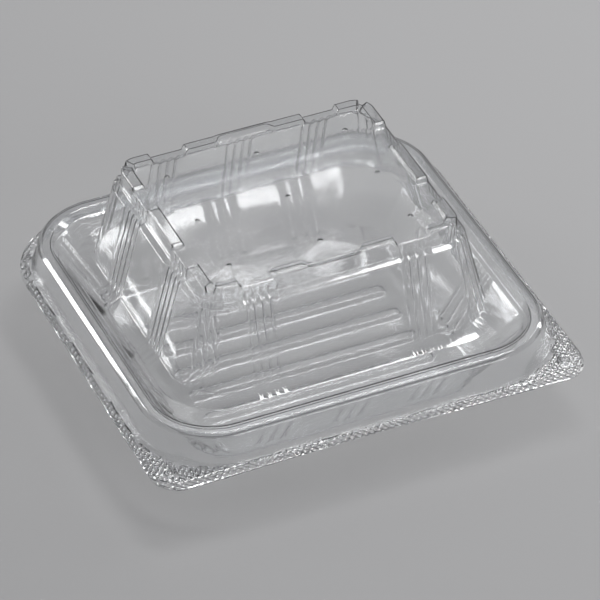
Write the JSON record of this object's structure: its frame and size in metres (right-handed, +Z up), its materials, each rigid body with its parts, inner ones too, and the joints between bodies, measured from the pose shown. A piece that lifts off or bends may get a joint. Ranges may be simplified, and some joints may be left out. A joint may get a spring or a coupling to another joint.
{
  "type": "clear hinged food pack",
  "caption": "Clear formed plastic clamshell food pack: a ribbed tray with a rolled rim and a domed, fluted lid that swings open on a fold along the back.",
  "frame": {"origin": "middle of the pack's box, at the underside of the tray's floor", "axes": "+Z up, +X to the right seen from the opening front, +Y towards the fold at the back"},
  "size_m": [0.1844, 0.1774, 0.0775],
  "materials": {
    "tray_sheet": "clear gloss",
    "lid_sheet": "clear gloss"
  },
  "bodies": {
    "tray": {"tray": "tray_sheet"},
    "lid": {"lid": "lid_sheet"}
  },
  "joints": [
    {"name": "lid_hinge", "type": "hinge", "parent": "tray", "child": "lid", "pos_m": [0, 0.08825, 0.02205], "axis": [-1, 0, 0], "range_deg": [0, 140]}
  ]
}
